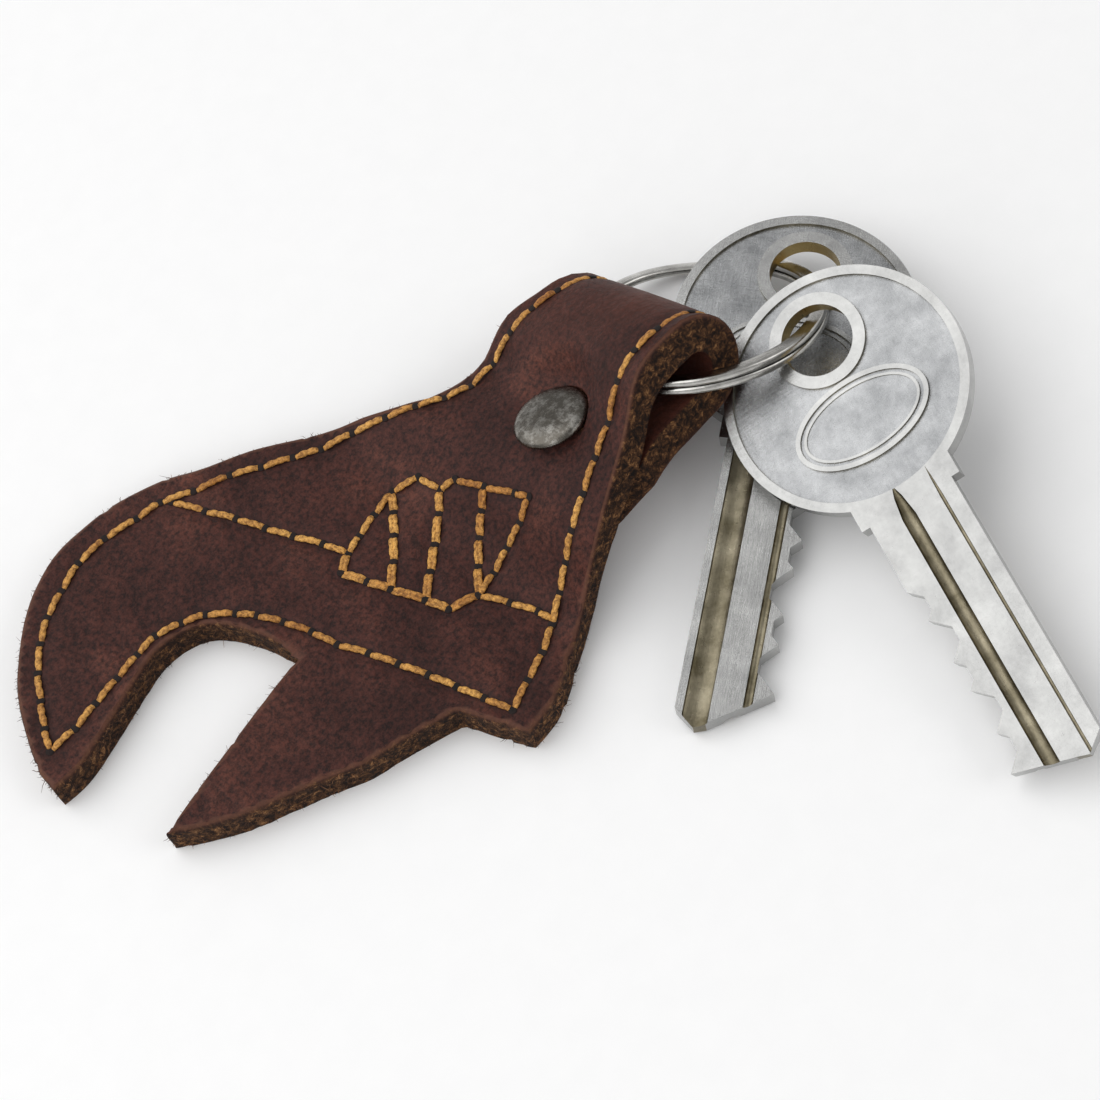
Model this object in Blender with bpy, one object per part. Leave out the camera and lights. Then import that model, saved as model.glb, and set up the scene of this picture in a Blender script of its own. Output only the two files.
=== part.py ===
"""Wrench-shaped leather key organiser: folded strap, one rivet, sewn pattern, split ring and two keys.

Units are metres. +X runs along the strap towards the ring, +Z is up, and the origin lies on the
underside of the flat wrench head, which rests on the table.
"""

import math

import bmesh
import bpy
from mathutils import Matrix, Vector

MM = 0.001

# Leather strap
LEATHER = 3.8 * MM
FLAP = 3.4 * MM
GAP_IN_LOOP = 4.1 * MM
FOLD_X = 29.0 * MM
FOLD_INNER_R = GAP_IN_LOOP / 2
FOLD_MID_R = FOLD_INNER_R + LEATHER / 2
FOLD_Z = FLAP + FOLD_INNER_R
FOLD_START = FOLD_X
FOLD_END = FOLD_X + math.pi * FOLD_MID_R
FLAP_END_X = 12.2 * MM
NEAR_EDGE_V = -12.6 * MM
EDGE_BEVEL = 0.35 * MM
TWIST = math.radians(24.1)
TWIST_FROM_X = 2.0 * MM
TWIST_LENGTH = 21.0 * MM
PIVOT_V = 9.0 * MM
STATION_STEP = 1.6 * MM

# Rivet
RIVET_X = 17.4 * MM
RIVET_V = -2.2 * MM
CAP_R = 4.05 * MM
CAP_DOME = 0.9 * MM
CAP_RIM = 0.45 * MM
POST_R = 1.8 * MM
BACK_R = 3.3 * MM
BACK_T = 0.7 * MM
CLEARANCE = 0.3 * MM

# Thread
THREAD_R = 0.42 * MM
THREAD_LIFT = 0.2 * MM
THREAD_STEP = 1.6 * MM

# Split ring
RING_CENTRE = Vector((36.38, -1.05, 7.00)) * MM
RING_NORMAL = Vector((0.3097, 0.3495, 0.8843)).normalized()
RING_MEAN_R = 12.6 * MM
COIL_WIDTH = 1.3 * MM
COIL_T = 0.72 * MM
COIL_PITCH = 0.82 * MM
CROSSOVER = math.radians(50)
RING_SEAM = Vector((0.2, 1.0, 0.0))
RING_STEP = math.radians(5)

# Joint axes: a point on each axis and its direction
RING_JOINT = (Vector((29.0, 1.18, 9.47)) * MM, Vector((0.0, 0.9128, -0.4083)))
FRONT_KEY_JOINT = (Vector((39.831, -12.685, 10.39)) * MM, Vector((0.9105, 0.1588, -0.3817)))
REAR_KEY_JOINT = (RING_CENTRE, RING_NORMAL)

# Keys
KEY_T = 2.0 * MM
KEY_RIM = 1.0 * MM
KEY_POCKET = 0.3 * MM
COLLAR = 1.3 * MM
EMBLEM_ALONG = 4.3 * MM
EMBLEM_ACROSS = 7.3 * MM
EMBLEM_X = 3.6 * MM
GROOVE_DEPTH = 0.55 * MM
# Milled grooves in the blade: side of the plate, place across it and width.
GROOVES = [(1, -0.8 * MM, 1.35 * MM), (-1, 2.5 * MM, 2.8 * MM), (-1, -2.5 * MM, 0.8 * MM)]
FRONT_KEY = {
    "position": Vector((40.19, -14.36, 10.55)) * MM,
    "along": Vector((-0.3885, -0.9097, -0.1471)),
    "normal": Vector((-0.3681, 0.0069, 0.9298)),
    "offset": 5.81 * MM,
    "bow": 12.5 * MM,
    "hole": 3.5 * MM,
    "half": 4.6 * MM,
    "reach": 43.35 * MM,
    "first_cut": 28.9 * MM,
    "cut_pitch": 3.95 * MM,
    "cuts": [1.2 * MM, 2.1 * MM, 1.4 * MM, 2.3 * MM, 1.6 * MM],
    "flipped": False,
}
REAR_KEY = {
    "position": Vector((48.14, -5.32, 4.74)) * MM,
    "along": Vector((-0.8621, -0.5019, -0.0696)),
    "normal": Vector((-0.0418, -0.0665, 0.9969)),
    "offset": 5.9 * MM,
    "bow": 12.7 * MM,
    "hole": 3.7 * MM,
    "half": 4.6 * MM,
    "reach": 44.6 * MM,
    "first_cut": 27.6 * MM,
    "cut_pitch": 3.95 * MM,
    "cuts": [1.5 * MM, 1.0 * MM, 2.2 * MM, 1.3 * MM, 2.0 * MM],
    "flipped": True,
}

# Outline of the flat head, walked anticlockwise from the near corner of the handle.
NEAR_CORNER = [(8.5, -12.6), (5.6, -13.1), (2.6, -14.1), (-2.3, -16.5), (-4.9, -17.1), (-7.4, -17.2)]
NOTCH_END = [(-7.7, -16.6), (-10.0, -10.3)]
NOTCH_SIDE = [(-10.4, -9.9), (-15.8, -8.0)]
MOVING_JAW = [(-19.9, -6.8), (-23.8, -4.7), (-27.8, -2.8), (-31.3, -1.1), (-35.2, 1.6), (-37.4, 3.5)]
MOUTH = [
    (-32.0, 4.5), (-22.0, 6.0), (-17.2, 6.6), (-15.8, 6.8), (-16.1, 10.0), (-17.2, 13.6), (-18.9, 16.6),
    (-21.3, 18.2), (-24.6, 18.7), (-28.0, 18.0), (-32.6, 16.8), (-37.9, 15.6), (-41.4, 15.8),
]
FIXED_JAW = [
    (-41.1, 18.3), (-40.0, 20.9), (-37.5, 25.6), (-35.1, 28.6), (-31.1, 32.2), (-27.4, 34.4),
    (-23.1, 35.7), (-18.2, 35.5), (-14.7, 34.8), (-10.3, 33.0), (-6.7, 30.6), (-1.4, 27.6), (4.1, 23.2),
]
# Far edge of the strap: distance along the strap, then distance across it.
FAR_EDGE = [(7.5, 20.3), (10.7, 16.9), (14.4, 13.7), (19.2, 11.4), (23.5, 9.9), (27.6, 8.3), (31.0, 7.2)]
FAR_EDGE_FOLD = 7.0 * MM
# Rise of the upper layer's underside above the table, along the strap.
RISE = [(3.0, 0.0), (4.5, 0.3), (6.5, 1.4), (9.0, 2.9), (10.8, 3.5), (12.0, 3.65), (17.6, 3.65), (19.5, 4.0),
        (21.0, 5.0), (22.5, 6.3), (24.0, 7.2), (25.5, 7.5)]

# Sewn lines on the upper face, as points that the thread passes through.
SEAM_BACK = [
    (-38.0, 20.6), (-35.7, 24.1), (-31.4, 29.0), (-28.9, 30.7), (-25.9, 31.8), (-22.6, 32.8), (-18.9, 32.7),
    (-15.2, 31.7), (-12.3, 31.0), (-9.2, 29.2), (-5.5, 27.5), (-2.8, 25.5), (0.1, 23.6), (5.8, 20.1),
    (11.7, 15.3), (16.8, 10.6), (22.0, 8.2), (28.0, 6.0), (32.5, 4.8),
]
SEAM_MOUTH = [
    (-36.6, 19.0), (-32.3, 19.4), (-29.0, 19.7), (-25.9, 20.0), (-23.3, 20.1), (-20.6, 19.0), (-18.4, 17.7),
    (-16.4, 15.3), (-14.0, 10.7), (-12.4, 4.5), (-10.1, -1.9), (-8.3, -8.2), (-7.2, -12.6),
]
SEAM_NEAR = [(-5.5, -14.0), (-3.4, -13.3), (-0.3, -12.4), (2.5, -11.1), (5.2, -10.0), (9.7, -9.4),
             (17.0, -9.7), (24.0, -10.2), (32.5, -10.8)]
SEAM_HEAD = [(-10.9, 28.0), (-9.9, 25.4), (-8.4, 22.7), (-6.4, 16.6), (-5.1, 13.2)]
SEAM_KNURL = [(-4.4, 10.9), (-2.2, 11.4), (0.5, 11.9), (3.5, 12.2), (6.1, 10.5), (6.3, 7.5), (7.8, 6.3),
              (8.7, 2.6), (9.7, -1.2), (10.1, -3.0), (7.9, -2.9), (5.6, -2.5), (3.1, -2.6), (1.6, -2.8)]
SEAM_SIDE = [(-6.4, 9.9), (-5.5, 7.1), (-4.6, 4.6), (-3.5, 0.8), (-2.5, -1.6), (-0.8, -2.7)]
SEAM_HANDLE = [(0.5, -4.2), (1.7, -6.2), (2.4, -8.2), (2.5, -9.8)]
SEAM_BARS = [
    [(2.4, 10.8), (1.2, 9.9), (-0.2, 8.7), (-2.2, 6.6), (-3.6, 5.4)],
    [(5.0, 6.7), (4.1, 6.0), (1.9, 4.5), (-0.7, 2.7), (-2.3, 1.6)],
    [(7.5, 2.2), (6.4, 1.7), (4.9, 0.9), (2.6, -0.7), (1.4, -1.6)],
]


def clear_scene():
    for obj in list(bpy.data.objects):
        bpy.data.objects.remove(obj, do_unlink=True)


def material(name, colour, roughness, metallic):
    made = bpy.data.materials.new(name)
    made.use_nodes = True
    shader = made.node_tree.nodes["Principled BSDF"]
    shader.inputs["Base Color"].default_value = (*colour, 1.0)
    shader.inputs["Roughness"].default_value = roughness
    shader.inputs["Metallic"].default_value = metallic
    made.diffuse_color = (*colour, 1.0)
    return made


def add_object(name, bm, surface, matrix=None):
    """Turns a bmesh into an object. The matrix places it without moving its own origin off the joint axis."""
    bmesh.ops.recalc_face_normals(bm, faces=bm.faces)
    mesh = bpy.data.meshes.new(name)
    bm.to_mesh(mesh)
    bm.free()
    mesh.materials.append(surface)
    obj = bpy.data.objects.new(name, mesh)
    bpy.context.scene.collection.objects.link(obj)
    if matrix is not None:
        obj.matrix_world = matrix
    return obj


def cut(obj, cutter, operation="DIFFERENCE"):
    """Applies one Boolean, then removes the cutter."""
    modifier = obj.modifiers.new(operation.lower(), "BOOLEAN")
    modifier.operation = operation
    modifier.solver = "EXACT"
    modifier.object = cutter
    bpy.context.view_layer.update()
    graph = bpy.context.evaluated_depsgraph_get()
    shaped = bpy.data.meshes.new_from_object(obj.evaluated_get(graph))
    obj.modifiers.clear()
    old = obj.data
    obj.data = shaped
    bpy.data.meshes.remove(old)
    bpy.data.objects.remove(cutter, do_unlink=True)


def smooth(obj, angle=35):
    obj.data.shade_smooth()
    obj.data.set_sharp_from_angle(angle=math.radians(angle))


def ramp(table, x):
    """Linear interpolation in a table of (x, value) pairs, constant beyond its ends."""
    if x <= table[0][0]:
        return table[0][1]
    for (x0, y0), (x1, y1) in zip(table, table[1:]):
        if x <= x1:
            return y0 + (y1 - y0) * (x - x0) / (x1 - x0)
    return table[-1][1]


def spline(points, step):
    """Catmull-Rom curve through the points, sampled about every step."""
    ends = [points[0]] + list(points) + [points[-1]]
    found = []
    for p0, p1, p2, p3 in zip(ends, ends[1:], ends[2:], ends[3:]):
        a, b, c, d = (Vector(p) for p in (p0, p1, p2, p3))
        count = max(1, round((c - b).length / step))
        for i in range(count):
            t = i / count
            found.append(
                0.5 * (2 * b + (c - a) * t + (2 * a - 5 * b + 4 * c - d) * t**2 + (3 * b - a - 3 * c + d) * t**3)
            )
    found.append(Vector(points[-1]))
    return found


def scaled(points):
    return [(x * MM, y * MM) for x, y in points]


def twist_at(x):
    t = min(1.0, max(0.0, (x - TWIST_FROM_X) / TWIST_LENGTH))
    return TWIST * t * t * (3 - 2 * t)


def twisted(x, v, n):
    """Point at x along, v across and n above the strap, after the strap's twist about its far edge."""
    angle = twist_at(x)
    y = PIVOT_V + (v - PIVOT_V) * math.cos(angle) + n * math.sin(angle)
    z = n * math.cos(angle) - (v - PIVOT_V) * math.sin(angle)
    return Vector((x, y, z))


def strap_point(s, v, outward):
    """Point of the folded strap. s runs along it and round the fold, and outward is 0 on the inner face."""
    if s <= FOLD_START:
        return twisted(s, v, ramp(scaled(RISE), s) + outward)
    if s >= FOLD_END:
        return twisted(FOLD_X - (s - FOLD_END), v, FLAP - outward * FLAP / LEATHER)
    angle = (s - FOLD_START) / FOLD_MID_R
    share = angle / math.pi
    radius = FOLD_INNER_R + outward * (1 - share + share * FLAP / LEATHER)
    return twisted(FOLD_X + radius * math.sin(angle), v, FOLD_Z + radius * math.cos(angle))


def strap_outline():
    """Closed outline of the strap laid out flat, head at -X and flap end at +X."""
    mm = MM
    flap_end = FOLD_END + FOLD_X - FLAP_END_X
    taper = FOLD_END + FOLD_X - 19.0 * mm
    near = [(taper, NEAR_EDGE_V), (flap_end - 2.5 * mm, -10.6 * mm), (flap_end - 0.7 * mm, -9.6 * mm)]
    end = [(flap_end, -8.0 * mm), (flap_end, 6.4 * mm), (flap_end - 0.6 * mm, 7.8 * mm)]
    far = [(flap_end - 2.5 * mm, 8.6 * mm), (taper, 8.0 * mm), (FOLD_END - 1.0 * mm, FAR_EDGE_FOLD)]
    fold = [(FOLD_START + 3.0 * mm, FAR_EDGE_FOLD)]
    upper = scaled(reversed(FAR_EDGE))
    step = 2.0 * mm
    points = near + end + far + fold + upper
    for run in (FIXED_JAW, MOUTH, MOVING_JAW, NOTCH_SIDE, NOTCH_END, NEAR_CORNER):
        points += spline(scaled(reversed(run)), step)
    return [Vector((p[0], p[1])) for p in points]


def make_strap(surface):
    """Cuts the flat outline into narrow stations, thickens it, chamfers the upper rim and folds it."""
    bm = bmesh.new()
    outline = [bm.verts.new((p.x, p.y, 0)) for p in strap_outline()]
    face = bm.faces.new(outline)
    if face.normal.z < 0:
        bmesh.ops.reverse_faces(bm, faces=[face])
    station = 3.0 * MM
    stations = []
    while station < FOLD_END + FOLD_X - FLAP_END_X - MM:
        stations.append(station)
        in_fold = FOLD_START - 5 * MM < station < FOLD_END
        station += STATION_STEP / 2 if in_fold else STATION_STEP
    for station in stations:
        bmesh.ops.bisect_plane(
            bm, geom=bm.verts[:] + bm.edges[:] + bm.faces[:], plane_co=(station, 0, 0), plane_no=(1, 0, 0)
        )
    for v in (-4.0 * MM, 4.0 * MM):
        strip = [f for f in bm.faces if f.calc_center_median().x > stations[0]]
        edges = {e for f in strip for e in f.edges}
        verts = {p for f in strip for p in f.verts}
        bmesh.ops.bisect_plane(bm, geom=list(verts) + list(edges) + strip, plane_co=(0, v, 0), plane_no=(0, 1, 0))
    raised = bmesh.ops.extrude_face_region(bm, geom=bm.faces[:])
    top = [item for item in raised["geom"] if isinstance(item, bmesh.types.BMFace)]
    rim = {edge for face in top for edge in face.edges if any(other not in top for other in edge.link_faces)}
    for vert in {vert for face in top for vert in face.verts}:
        vert.co.z = LEATHER
    bmesh.ops.inset_region(bm, faces=top, thickness=EDGE_BEVEL, use_boundary=True, use_even_offset=True)
    for vert in {vert for edge in rim for vert in edge.verts}:
        vert.co.z = LEATHER - EDGE_BEVEL
    for vert in bm.verts:
        vert.co = strap_point(vert.co.x, vert.co.y, vert.co.z)
    bmesh.ops.triangulate(bm, faces=bm.faces[:])
    strap = add_object("leather_strap", bm, surface)
    smooth(strap)
    return strap


def disc_cutter(radius, depth, sides, matrix):
    """Cylinder standing on the matrix's XY plane."""
    bm = bmesh.new()
    bmesh.ops.create_cone(
        bm, cap_ends=True, segments=sides, radius1=radius, radius2=radius, depth=depth,
        matrix=Matrix.Translation((0, 0, depth / 2)),
    )
    return add_object("cutter", bm, bpy.data.materials["rivet_metal"], matrix)


def turned(name, profile, sides, surface, matrix):
    """Solid turned about the local Z axis from a profile of (radius, height) that starts and ends on the axis."""
    bm = bmesh.new()
    rings = []
    for radius, height in profile[1:-1]:
        ring = []
        for i in range(sides):
            angle = 2 * math.pi * i / sides
            ring.append(bm.verts.new((radius * math.cos(angle), radius * math.sin(angle), height)))
        rings.append(ring)
    first = bm.verts.new((0, 0, profile[0][1]))
    last = bm.verts.new((0, 0, profile[-1][1]))
    for i in range(sides):
        j = (i + 1) % sides
        bm.faces.new((first, rings[0][i], rings[0][j]))
        bm.faces.new((last, rings[-1][j], rings[-1][i]))
        for a, b in zip(rings, rings[1:]):
            bm.faces.new((a[i], a[j], b[j], b[i]))
    obj = add_object(name, bm, surface, matrix)
    smooth(obj)
    return obj


def strap_frame(x, v, n):
    """Frame on the strap at (x, v, n) whose Z axis stands square to the strap."""
    return Matrix.Translation(twisted(x, v, n)) @ Matrix.Rotation(-twist_at(x), 4, "X")


def make_rivet(strap, surface):
    """Cuts the strap for the rivet and adds its domed cap and its post with the flat back."""
    top = ramp(scaled(RISE), RIVET_X) + LEATHER
    seat = top - CLEARANCE
    cut(strap, disc_cutter(POST_R + CLEARANCE, 20 * MM, 20, strap_frame(RIVET_X, RIVET_V, -6 * MM)))
    cut(strap, disc_cutter(CAP_R + CLEARANCE, 6 * MM, 28, strap_frame(RIVET_X, RIVET_V, seat)))
    cut(strap, disc_cutter(BACK_R + CLEARANCE, 6 * MM, 20, strap_frame(RIVET_X, RIVET_V, -6 * MM)))
    smooth(strap)
    cap = [(0, 0), (CAP_R - 0.2 * MM, 0), (CAP_R, 0.2 * MM), (CAP_R, CAP_RIM)]
    for step in range(1, 5):
        angle = math.radians(90 * step / 5)
        cap.append((CAP_R * math.cos(angle) ** 0.6, CAP_RIM + CAP_DOME * math.sin(angle)))
    cap.append((0, CAP_RIM + CAP_DOME))
    turned("rivet_cap", cap, 28, surface, strap_frame(RIVET_X, RIVET_V, seat + CLEARANCE))
    post_top = seat - 0.1 * MM + BACK_T + CLEARANCE
    post = [(0, 0), (BACK_R - 0.2 * MM, 0), (BACK_R, 0.2 * MM), (BACK_R, BACK_T), (POST_R, BACK_T),
            (POST_R, post_top), (0, post_top)]
    turned("rivet_post", post, 20, surface, strap_frame(RIVET_X, RIVET_V, -BACK_T - CLEARANCE))


def axis_frame(centre, normal, along=None):
    """Frame at the centre with Z along the normal, and X as close to the given direction as it can be."""
    z = normal.normalized()
    x = (along if along is not None else Vector((1, 0, 0)))
    x = (x - x.dot(z) * z).normalized()
    y = z.cross(x)
    return Matrix.Translation(centre) @ Matrix((x, y, z)).transposed().to_4x4()


def make_ring(surface):
    """Two flat coils of one wire. The wire steps from the lower coil to the upper one at the crossover."""
    bm = bmesh.new()
    a, b, c = COIL_WIDTH / 2, COIL_T / 2, COIL_T * 0.3
    section = [(a, b - c), (a - c, b), (c - a, b), (-a, b - c), (-a, c - b), (c - a, -b), (a - c, -b), (a, c - b)]
    total = 4 * math.pi - CROSSOVER - RING_STEP
    count = round(total / RING_STEP)
    loops = []
    for i in range(count + 1):
        angle = total * i / count
        t = min(1.0, max(0.0, (angle - (2 * math.pi - CROSSOVER)) / CROSSOVER))
        height = COIL_PITCH * (t * t * (3 - 2 * t) - 0.5)
        loop = []
        for out, up in section:
            r = RING_MEAN_R + out
            loop.append(bm.verts.new((r * math.cos(angle), r * math.sin(angle), height + up)))
        loops.append(loop)
    sides = len(section)
    for p, q in zip(loops, loops[1:]):
        for k in range(sides):
            m = (k + 1) % sides
            bm.faces.new((p[k], p[m], q[m], q[k]))
    bm.faces.new(loops[0])
    bm.faces.new(reversed(loops[-1]))
    ring = add_object("split_ring", bm, surface, axis_frame(RING_CENTRE, RING_NORMAL, RING_SEAM))
    smooth(ring)
    return ring


def arc(cx, cy, radius, start, end, count):
    found = []
    for i in range(count + 1):
        angle = start + (end - start) * i / count
        found.append((cx + radius * math.cos(angle), cy + radius * math.sin(angle)))
    return found


def toothed_edge(key):
    """Lower edge of the blade from the shoulder to the tip: flat-bottomed cuts with 45 degree sides."""
    half = key["half"]
    flat = 1.5 * MM
    points = []
    left_x = None
    for number, depth in enumerate(key["cuts"]):
        x = key["first_cut"] + number * key["cut_pitch"]
        start = x - flat / 2 - depth
        if left_x is not None and left_x > start:
            # Two slopes cross below the blade's edge and leave a lower peak between the cuts.
            points.pop()
            points.append(((left_x + start) / 2, -half + (left_x - start) / 2))
        else:
            points.append((start, -half))
        points += [(x - flat / 2, depth - half), (x + flat / 2, depth - half)]
        left_x = x + flat / 2 + depth
        points.append((left_x, -half))
    return points


def key_outline(key):
    """Bow circle, shoulder and toothed blade, with the hole's centre at the origin and the tip at +X."""
    h, bow, half, tip = key["offset"], key["bow"], key["half"], key["offset"] + key["reach"]
    opening = math.asin((half + 0.9 * MM) / bow)
    shoulder = h + bow * math.cos(opening) + 2.4 * MM
    points = arc(h, 0, bow, opening, 2 * math.pi - opening, 40)
    points += [(shoulder, -half - 0.9 * MM), (shoulder, -half)]
    points += toothed_edge(key)
    points += [(tip - 0.4 * MM, half - 3.2 * MM), (tip, half - 2.0 * MM), (tip - 1.6 * MM, half)]
    points += [(shoulder, half), (shoulder, half + 0.9 * MM)]
    return points


def prism(name, outline, low, high, surface, matrix=None):
    """Straight solid between two heights over a closed outline."""
    bm = bmesh.new()
    verts = [bm.verts.new((x, y, low)) for x, y in outline]
    face = bm.faces.new(verts)
    raised = bmesh.ops.extrude_face_region(bm, geom=[face])
    for item in raised["geom"]:
        if isinstance(item, bmesh.types.BMVert):
            item.co.z = high
    return add_object(name, bm, surface, matrix)


def ellipse(cx, a, b, count):
    step = 2 * math.pi / count
    return [(cx + a * math.cos(step * i), b * math.sin(step * i)) for i in range(count)]


def make_key(name, key, surface):
    """Key with a rimmed bow, a collar round the hole, a plain oval badge and a grooved blade."""
    h, bow = key["offset"], key["bow"]
    top = KEY_T / 2
    body = prism(name, key_outline(key), -top, top, surface)
    cut(body, prism("hole", ellipse(0, key["hole"], key["hole"], 28), -2 * top, 2 * top, surface))
    for side in (-1, 1):
        low, high = sorted((side * (top - KEY_POCKET), side * 2 * top))
        pocket = prism("pocket", ellipse(h, bow - KEY_RIM, bow - KEY_RIM, 40), low, high, surface)
        keep = key["hole"] + COLLAR
        cut(pocket, prism("collar", ellipse(0, keep, keep, 28), -3 * top, 3 * top, surface))
        emblem = ellipse(h + EMBLEM_X, EMBLEM_ALONG, EMBLEM_ACROSS, 28)
        cut(pocket, prism("emblem", emblem, -3 * top, 3 * top, surface))
        cut(body, pocket)
    start, end = h + bow - 1.2 * MM, h + key["reach"] + 3 * MM
    for side, centre, width in GROOVES:
        low, high = sorted((side * (top - GROOVE_DEPTH), side * 2 * top))
        y0, y1 = centre - width / 2, centre + width / 2
        cut(body, prism("groove", [(start, y0), (end, y0), (end, y1), (start, y1)], low, high, surface))
    body.matrix_world = axis_frame(key["position"], key["normal"], key["along"])
    if key["flipped"]:
        body.matrix_world = body.matrix_world @ Matrix.Rotation(math.pi, 4, "X")
    smooth(body)
    return body


def make_thread(name, points, surface):
    """Waxed thread lying on the strap's upper face along the sewn line."""
    path = spline(scaled(points), THREAD_STEP)
    curve = bpy.data.curves.new(name, "CURVE")
    curve.dimensions = "3D"
    curve.bevel_depth = THREAD_R
    curve.bevel_resolution = 1
    curve.use_fill_caps = True
    line = curve.splines.new("POLY")
    line.points.add(len(path) - 1)
    for point, place in zip(line.points, path):
        point.co = (*strap_point(place.x, place.y, LEATHER + THREAD_R + THREAD_LIFT), 1)
    curve.materials.append(surface)
    obj = bpy.data.objects.new(name, curve)
    bpy.context.scene.collection.objects.link(obj)


def on_joint(obj, joint, name):
    """Parents the piece to an empty whose Z axis is the joint's axis, and leaves it in place."""
    empty = bpy.data.objects.new(name, None)
    empty.empty_display_size = 5 * MM
    bpy.context.scene.collection.objects.link(empty)
    empty.matrix_world = axis_frame(*joint)
    bpy.context.view_layer.update()
    obj.parent = empty
    obj.matrix_parent_inverse = empty.matrix_world.inverted()
    return empty


def main():
    clear_scene()
    leather = material("leather", (0.095, 0.042, 0.036), 0.55, 0.0)
    thread = material("thread", (0.50, 0.26, 0.10), 0.7, 0.0)
    rivet = material("rivet_metal", (0.36, 0.33, 0.31), 0.35, 1.0)
    wire = material("ring_steel", (0.62, 0.61, 0.60), 0.25, 1.0)
    plate = material("key_nickel", (0.66, 0.62, 0.56), 0.32, 1.0)
    strap = make_strap(leather)
    make_rivet(strap, rivet)
    make_thread("thread_back_edge", SEAM_BACK, thread)
    make_thread("thread_jaw_mouth", SEAM_MOUTH, thread)
    make_thread("thread_near_edge", SEAM_NEAR, thread)
    make_thread("thread_head_line", SEAM_HEAD, thread)
    make_thread("thread_knurl_outline", SEAM_KNURL, thread)
    make_thread("thread_knurl_side", SEAM_SIDE, thread)
    make_thread("thread_handle_line", SEAM_HANDLE, thread)
    for number, bar in enumerate(SEAM_BARS, 1):
        make_thread(f"thread_knurl_bar_{number}", bar, thread)
    ring = make_ring(wire)
    front = make_key("front_key", FRONT_KEY, plate)
    rear = make_key("rear_key", REAR_KEY, plate)
    on_joint(ring, RING_JOINT, "ring_joint")
    on_joint(front, FRONT_KEY_JOINT, "front_key_joint")
    on_joint(rear, REAR_KEY_JOINT, "rear_key_joint")


main()
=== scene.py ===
"""Looks for the wrench-shaped key organiser: leather, sewn thread, rivet, split ring and two keys."""
import math

import bmesh
import bpy
import numpy as np
from mathutils import Matrix, Vector, noise


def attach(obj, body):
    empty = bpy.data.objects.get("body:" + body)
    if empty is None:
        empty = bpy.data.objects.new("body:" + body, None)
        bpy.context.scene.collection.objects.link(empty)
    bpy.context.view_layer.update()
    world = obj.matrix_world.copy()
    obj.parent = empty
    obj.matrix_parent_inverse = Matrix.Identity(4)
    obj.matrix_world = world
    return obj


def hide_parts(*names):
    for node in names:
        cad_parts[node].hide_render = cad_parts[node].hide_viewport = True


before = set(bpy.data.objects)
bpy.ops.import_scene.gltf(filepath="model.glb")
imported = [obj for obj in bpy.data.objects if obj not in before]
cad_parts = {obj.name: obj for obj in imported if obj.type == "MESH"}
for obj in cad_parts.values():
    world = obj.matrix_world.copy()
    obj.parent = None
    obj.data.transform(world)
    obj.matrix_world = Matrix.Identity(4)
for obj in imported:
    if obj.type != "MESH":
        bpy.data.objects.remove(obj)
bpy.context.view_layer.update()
MM = 0.001

# Leather strap: one sheet that rises over its own flap, twists and rolls into the loop
LEATHER = 3.8 * MM
FLAP = 3.4 * MM
FOLD_X = 29.0 * MM
FOLD_INNER_R = 2.05 * MM
FOLD_MID_R = FOLD_INNER_R + LEATHER / 2
FOLD_Z = FLAP + FOLD_INNER_R
FOLD_END = FOLD_X + math.pi * FOLD_MID_R
FLAP_END_X = 12.2 * MM
FLAP_TAPER_X = 19.0 * MM
TWIST = math.radians(24.1)
TWIST_FROM_X = 2.0 * MM
TWIST_LENGTH = 21.0 * MM
PIVOT_V = 9.0 * MM

# Mesh of the leather
GRID_STEP = 0.83 * MM
MERGE_DISTANCE = 0.22 * MM
WALL_STEPS = (0.9, 1.8, 2.7, 3.35)
# Inset and height of each rim ring in mm, with its "edge" and "rim" shares.
RIM_STEPS = ((0.16, 3.66, 0.25, 0.7), (0.30, 3.80, 0.0, 0.45))
FIBRE_COUNT = 2600

# Relief of the leather's upper face, in mm: furrow under the thread, the painted shade along it, and the
# dips round the rivet
FURROW_DEPTH, FURROW_WIDTH = 0.24, 0.75
FURROW_SHADE, FURROW_SHADE_WIDTH = 0.75, 0.62
DIMPLE_DEPTH, DIMPLE_R, DIMPLE_WIDTH = 0.30, 4.2, 1.2
SEAT_RISE, SEAT_R, SEAT_WIDTH = 3.65, 4.0, 1.9

# Rivet
RIVET_X, RIVET_V = 17.4 * MM, -2.2 * MM
CAP_R = 4.05 * MM
CAP_EDGE = 0.55 * MM
CAP_DOME = 0.78 * MM
CAP_DENT = 0.015 * MM
POST_R = 1.8 * MM
BACK_R = 3.3 * MM
BACK_T = 0.7 * MM
BACK_DENT = 0.02 * MM

# Thread
STITCH_PITCH = 3.15 * MM
STITCH_R = 0.32 * MM
PLY_R, PLY_SIDE = 0.25 * MM, 0.18 * MM
PLY_TURNS = 3.2
THREAD_SINK = 0.16 * MM
# size of the near-black painted-shade discs in the stitch holes
HOLE_SHADE_SIZE = (0.44 * MM, 0.46 * MM, 0.13 * MM)

# Split ring
RING_CENTRE = Vector((36.38, -1.05, 7.00)) * MM
RING_NORMAL = Vector((0.3097, 0.3495, 0.8843)).normalized()
RING_SEAM = Vector((0.2, 1.0, 0.0))
RING_MEAN_R = 12.6 * MM
COIL_WIDTH, COIL_T, COIL_PITCH = 1.44 * MM, 0.83 * MM, 0.89 * MM
CROSSOVER = math.radians(50)
RING_STATIONS, SECTION_SIDES = 460, 24

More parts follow.
